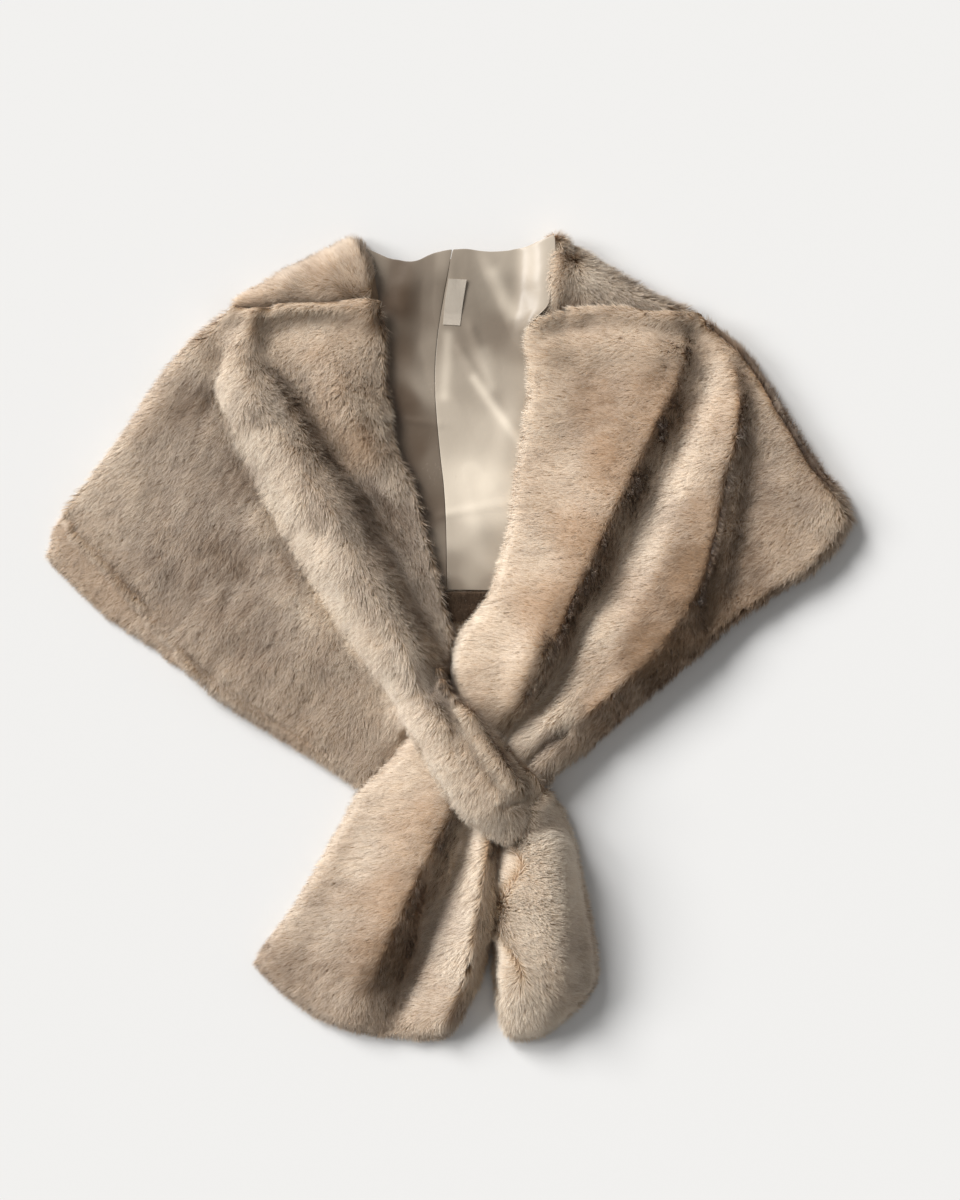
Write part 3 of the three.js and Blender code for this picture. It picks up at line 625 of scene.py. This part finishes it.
def grow_pile(name, piece, rows, count, seen, seed, pick=None, length=PILE_LENGTH):
    """Strands on a backing: spread by area where it is seen, combed as its table says and drawn into tufts."""
    rng = np.random.default_rng(seed)
    places = points_of(piece.data)
    normals = normals_of(piece.data)
    corners = corners_of(piece.data)
    sides = places[corners]
    weights = triangle_areas(sides) * seen[corners].mean(1)
    if pick is not None:
        weights = weights * pick(sides.mean(1))
    chosen = rng.choice(len(corners), count, p=weights / weights.sum())
    first = np.sqrt(rng.random(count))
    second = rng.random(count)
    mix = np.stack([1 - first, first * (1 - second), first * second], 1)[:, :, None]
    root = (places[corners[chosen]] * mix).sum(1)
    up = unit((normals[corners[chosen]] * mix).sum(1))
    x, y = root[:, 0], root[:, 1]
    heading, lean, tone_and_shade, ruffle = lie_at(rows, x, y)
    wisps = combed_streaks(x, y, heading)
    heading += np.radians(WIDE_TURN * wide_turn(x, y) + by_ruffle(NEAR_TURN, ruffle) * near_turn(x, y)
                          + by_ruffle(STRAY_TURN, ruffle) * rng.normal(0, 1, count))
    lean += np.radians(NEAR_LEAN * near_turn(y, x) + rng.normal(0, STRAY_LEAN, count))
    course = np.stack([np.cos(heading), np.sin(heading), np.zeros(count)], 1)
    along = unit(course - up * (course * up).sum(1, keepdims=True))
    reach = (length * rng.uniform(0.8, 1.15, count) * (1 - SHORTENED * ruffle))[:, None]
    course = up * np.cos(lean)[:, None] + along * np.sin(lean)[:, None]
    tufts = np.stack([tuft_x(x, y) + 0.8 * lock_x(x, y), tuft_y(x, y) + 0.8 * lock_y(x, y), 0 * x], 1)
    curls = np.stack([curl_x(x, y), curl_y(x, y), 0 * x], 1)
    course = unit(course + by_ruffle(TUFT_PULL, ruffle)[:, None] * tufts
                  + by_ruffle(CURL_PULL, ruffle)[:, None] * curls)
    tip = root + course * reach
    tip[:, 2] = np.maximum(tip[:, 2], LOWEST_TIP)
    side = unit(np.cross(course, up) + up * rng.normal(0, 0.35, count)[:, None])
    face = np.cross(side, course)
    side *= np.where((face * up).sum(1) < 0, -1.0, 1.0)[:, None]
    face = unit(np.cross(side, course))
    half = (STRAND_WIDTH / 2 * rng.uniform(0.75, 1.2, count))[:, None]
    blades = np.stack([root - side * half, root + side * half, tip], 1)
    shine = unit(0.75 * up + 0.25 * face + 0.08 * rng.normal(0, 1, (count, 3)))
    shines = np.repeat(shine[:, None, :], 3, 1)
    along_it = np.tile(np.array([0.0, 0.0, 1.0]), (count, 1))
    # The pile's shade: the table's tone, with its painted shade and light, and patches, wisps and a spread of the
    # fur's own tone
    shade = tone_and_shade + PATCH_TONE * tone_patch(x, y) + WISP_TONE * wisps + rng.normal(0, STRAY_TONE, count)
    shade = (np.clip(shade, DEEPEST_PAINTED_SHADE, 1) - DEEPEST_PAINTED_SHADE) / (1 - DEEPEST_PAINTED_SHADE)
    warmth = np.clip(0.6 * ruffle + 0.12 * tone_patch(y, x) - 0.1 + 0.1 * rng.normal(0, 1, count), 0, 0.8)
    values = np.stack([along_it, np.repeat(shade[:, None], 3, 1), np.repeat(warmth[:, None], 3, 1),
                       np.ones((count, 3))], 2)
    pile = bpy.data.objects.new(name, strands_mesh(name, blades, values, shines))
    bpy.context.collection.objects.link(pile)
    pile.data.materials.append(fur)
    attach(pile, "root")
    return pile


# The camera looks straight down, as the photograph does
camera = bpy.data.objects.new("camera", bpy.data.cameras.new("camera"))
bpy.context.collection.objects.link(camera)
bpy.context.scene.camera = camera
FILM = 36.0
FRAME_LENGTH = 1200 * PIXEL
CAMERA_HEIGHT = 2.4
READ_HEIGHT = 20 * MM            # the height at which the photograph was measured
centre = from_picture(480, 600)
camera.location = (centre[0], centre[1], CAMERA_HEIGHT + READ_HEIGHT)
camera.data.sensor_width = FILM
camera.data.lens = FILM * CAMERA_HEIGHT / FRAME_LENGTH
camera.data.clip_start = 0.01
camera.data.clip_end = 50

# The size of the backings' cells in mm, finer where most shows
CELLS = {"back_panel": 6.5, "left_front": 4.6, "right_front": 4.6, "right_tail": 4.6, "left_tail": 4.2}
backings = {node: backing_of(node, cell * MM) for node, cell in CELLS.items()}


LEVEL_ROUNDS = 60                # of smoothing, up and down
EDGE_ROUNDS = 5                  # of smoothing, in the plan


def thin_sheet(node, rounds):
    """A node of thin cloth, its mesh made finer over a number of rounds and then smoothed."""
    piece = copy_of(node, node + "_cloth")
    work = bmesh.new()
    work.from_mesh(piece.data)
    for _ in range(rounds):
        bmesh.ops.subdivide_edges(work, edges=work.edges, cuts=1, use_grid_fill=True)
    bmesh.ops.triangulate(work, faces=[f for f in work.faces if len(f.verts) > 4])
    work.to_mesh(piece.data)
    work.free()
    level = piece.modifiers.new("level", "SMOOTH")
    level.iterations = LEVEL_ROUNDS
    level.use_x = level.use_y = False
    edge = piece.modifiers.new("edge", "SMOOTH")
    edge.iterations = EDGE_ROUNDS
    edge.use_z = False
    applied(piece)
    piece.data.materials.clear()
    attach(piece, "root")
    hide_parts(node)
    return piece


# Creases of the satin: from pixel, to pixel, width and height in mm
SATIN_CREASES = [
    (490, 266, 520, 330, 8, 1.8), (478, 275, 508, 345, 8, -1.0), (462, 352, 505, 420, 5, 2.0),
    (455, 372, 480, 425, 5, -1.0), (472, 330, 492, 385, 5, 1.6), (515, 420, 480, 540, 12, 1.6),
    (470, 500, 500, 590, 10, 1.4), (400, 300, 420, 420, 12, 1.4), (410, 420, 436, 424, 3, 1.0),
    (425, 300, 430, 380, 10, -1.0), (412, 268, 400, 330, 9, 1.2), (443, 515, 500, 505, 4, 1.0),
]

# Painted highlights where the satin gleams: width in mm and strength, then pixels
SATIN_PAINTED_GLEAMS = [
    (8, 0.34, (494, 274), (504, 298), (512, 314)), (5, 0.34, (474, 378), (490, 402), (520, 442)),
    (7, 0.22, (484, 352), (492, 386)), (6, 0.3, (448, 335), (444, 395)), (9, 0.25, (470, 470), (492, 505)),
]


RIPPLE = 0.5 * MM
ripples = Wander(41, 22 * MM)


def satin_folds(x, y):
    """Height that the satin's creases add at each place, in metres."""
    height = RIPPLE * ripples(x, y)
    for px0, py0, px1, py1, width, crest in SATIN_CREASES:
        x0, y0 = from_picture(px0, py0)
        x1, y1 = from_picture(px1, py1)
        run = math.hypot(x1 - x0, y1 - y0)
        ax, ay = (x1 - x0) / run, (y1 - y0) / run
        ahead = (x - x0) * ax + (y - y0) * ay
        beside = (x - x0) * -ay + (y - y0) * ax
        beyond = np.maximum(np.maximum(-ahead, ahead - run), 0)
        spread = width * MM * (1 + 0.5 * np.clip(ahead / run, 0, 1))
        height += crest * MM * np.exp(-(beside / spread) ** 2 - (beyond / (2 * spread)) ** 2)
    return height


# How light the satin is, from deep to pale, as painted shade where the left flap shades it and painted light on
# its lit folds and the turn-up at the right shoulder: pixel, and share of the pale shade
SATIN_PAINTED_LIGHT = {
    "back_lining_left": [
        (375, 265, 0.25), (378, 330, 0.16), (400, 270, 0.08), (425, 262, 0.2), (444, 262, 0.3),
        (400, 300, 0.0), (440, 300, 0.18),
        (400, 350, 0.05), (433, 350, 0.28), (405, 400, 0.0), (428, 385, 0.32), (412, 450, 0.03), (438, 460, 0.15),
        (425, 520, 0.06), (440, 540, 0.2), (430, 575, 0.09),
    ],
    "back_lining_right": [
        (455, 265, 0.32), (500, 258, 0.5), (530, 262, 0.6), (547, 255, 0.62), (548, 300, 0.62), (466, 328, 0.26),
        (500, 332, 0.2), (512, 292, 0.42), (522, 340, 0.3), (470, 385, 0.45), (500, 385, 0.5),
        (520, 390, 0.5), (448, 420, 0.6), (500, 430, 0.7), (520, 450, 0.7), (475, 500, 1.0),
        (495, 490, 0.95), (455, 500, 0.9), (452, 535, 0.6), (449, 565, 0.3), (490, 555, 0.55),
        (470, 575, 0.42), (490, 588, 0.27), (455, 588, 0.18),
    ],
}

# How the neck edge is rounded between its points: pixel across, millimetres towards the neck, and width in mm
NECK_ROUNDING = [(402, 3.6, 9), (428, 1.4, 12), (454, -1.8, 9), (480, -0.8, 12), (513, 1.6, 12)]
NECK_PIXELS = (312, 268)         # the rounding fades in between these two heights of the photograph


def neck_rounding(x, y):
    """How far the neck edge of the satin is moved along Y."""
    shift = sum(rise * MM * np.exp(-((x - from_picture(px, 0)[0]) / (width * MM)) ** 2)
                for px, rise, width in NECK_ROUNDING)
    return shift * eased(y, *(from_picture(0, py)[1] for py in NECK_PIXELS))


TUCK = 8 * MM
TUCK_WIDTH = 15 * MM
TUCK_PIXEL = (538, 306)


def tuck_at_shoulder(x, y):
    """How far the satin is pushed along X, in under the fur, where it turns up at the right shoulder."""
    tuck_x, tuck_y = from_picture(*TUCK_PIXEL)
    return TUCK * np.exp(-((x - tuck_x) ** 2 + (y - tuck_y) ** 2) / TUCK_WIDTH ** 2)


SATIN_LIFT = 0.2 * MM            # how far the satin lies above its solid
LIGHT_REACH = 8 * MM
satins = {}
for node, rows in SATIN_PAINTED_LIGHT.items():
    cloth = thin_sheet(node, 3)
    places = points_of(cloth.data)
    x, y = places[:, 0].copy(), places[:, 1].copy()
    # Painted light and shade of the satin, with painted highlights along its creases
    light = from_nearest(rows, x, y, LIGHT_REACH)[0]
    for width, strength, *pixels in SATIN_PAINTED_GLEAMS:
        light += strength * near_line(x, y, pixels, width * MM)
    light = np.clip(light, 0, 1)
    places[:, 2] += np.maximum(satin_folds(x, y), -SATIN_LIFT) + SATIN_LIFT
    y += neck_rounding(x, y)
    x += tuck_at_shoulder(x, y)
    places[:, 0] = x
    places[:, 1] = y
    moved(cloth.data, places)
    paint = cloth.data.color_attributes.new("light", "FLOAT_COLOR", "POINT")
    paint.data.foreach_set("color", np.repeat(light, 4).astype(np.float32))
    cloth.data.materials.append(satin)
    satins[node] = cloth

# The back's hem facing, coloured with painted shadow
facing = thin_sheet("back_hem_facing", 2)
facing.data.materials.append(facing_fur_in_shadow)

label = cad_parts["neck_label"]
if not label.material_slots:
    label.data.materials.append(tape)
for place in label.material_slots:
    place.material = tape

# What hides what: all the backings and linings together
points = []
faces = []
for piece in [*backings.values(), *satins.values(), facing]:
    start = len(points)
    points += points_of(piece.data).tolist()
    faces += (corners_of(piece.data) + start).tolist()
everything = BVHTree.FromPolygons(points, faces)
seen = {node: seen_from_outside(piece, everything) for node, piece in backings.items()}
seen["back_hem_facing"] = seen_from_outside(facing, everything)


def showing_area(piece, weight):
    """The area of a piece on which the pile grows, each part weighed by how thick it grows there."""
    corners = corners_of(piece.data)
    areas = triangle_areas(points_of(piece.data)[corners])
    return float((areas * weight[corners].mean(1)).sum())


def neck_is_bare(places):
    """The back's fur stops short of the neck edge between the shoulders, where the satin turns over."""
    x0, y0 = from_picture(372, 262)
    x1, y1 = from_picture(548, 262)
    inside = (places[:, 0] > x0) & (places[:, 0] < x1) & (places[:, 1] > y1 - 120 * MM)
    return np.where(inside, 0.0, 1.0)


areas = {node: showing_area(piece, seen[node]) for node, piece in backings.items()}
share = STRANDS / sum(areas.values())
piles = {}
for number, (node, piece) in enumerate(backings.items()):
    wanted = int(areas[node] * share)
    parts = max(1, math.ceil(wanted / MOST_STRANDS))
    pick = neck_is_bare if node == "back_panel" else None
    piles[node] = [grow_pile(f"{node}_pile_{part + 1}", piece, PILE_LIES[node], wanted // parts, seen[node],
                             100 * number + part, pick) for part in range(parts)]
piles["back_hem_facing"] = [grow_pile("back_hem_facing_pile", facing, PILE_LIES["back_hem_facing"],
                                      FACING_STRANDS, seen["back_hem_facing"], 900, None, FACING_PILE)]
# Its pile takes the same painted shadow colour
piles["back_hem_facing"][0].data.materials[0] = facing_fur_in_shadow
TAIL_WALL = 5 * MM
made_hollow(backings["left_tail"], TAIL_WALL)

FLOOR = 12.0                     # from its middle to each side
FLOOR_DROP = 0.2 * MM
FLOOR_COLOUR = (0.835, 0.827, 0.812, 1)
floor_mesh = bpy.data.meshes.new("floor")
floor_mesh.from_pydata([(-FLOOR, -FLOOR, 0), (FLOOR, -FLOOR, 0), (FLOOR, FLOOR, 0), (-FLOOR, FLOOR, 0)], [],
                       [(0, 1, 2, 3)])
floor = bpy.data.objects.new("floor", floor_mesh)
bpy.context.collection.objects.link(floor)
pale, pale_shader, _ = new_material("pale_floor", 0.9)
pale_shader.inputs["Base Color"].default_value = FLOOR_COLOUR
pale_shader.inputs["Specular IOR Level"].default_value = 0.1
floor_mesh.materials.append(pale)
floor.location.z = -FLOOR_DROP

# Name, strength, softness in degrees, and the direction that it shines from: azimuth and elevation
LIGHTS = [("key_light", 3.1, 23, 130, 32), ("side_light", 1.8, 24, 165, 30)]
SKY_STRENGTH = 0.25
for name, energy, softness, azimuth, elevation in LIGHTS:
    lamp = bpy.data.objects.new(name, bpy.data.lights.new(name, "SUN"))
    bpy.context.collection.objects.link(lamp)
    lamp.data.energy = energy
    lamp.data.angle = math.radians(softness)
    turn, rise = math.radians(azimuth), math.radians(elevation)
    source = Vector((math.cos(turn) * math.cos(rise), math.sin(turn) * math.cos(rise), math.sin(rise)))
    lamp.rotation_euler = source.to_track_quat("Z", "Y").to_euler()
bpy.context.scene.view_settings.view_transform = "Standard"
world = bpy.data.worlds.new("studio")
bpy.context.scene.world = world
world.use_nodes = True
sky = world.node_tree.nodes["Background"]
sky.inputs["Color"].default_value = (1.0, 1.0, 1.0, 1)
sky.inputs["Strength"].default_value = SKY_STRENGTH
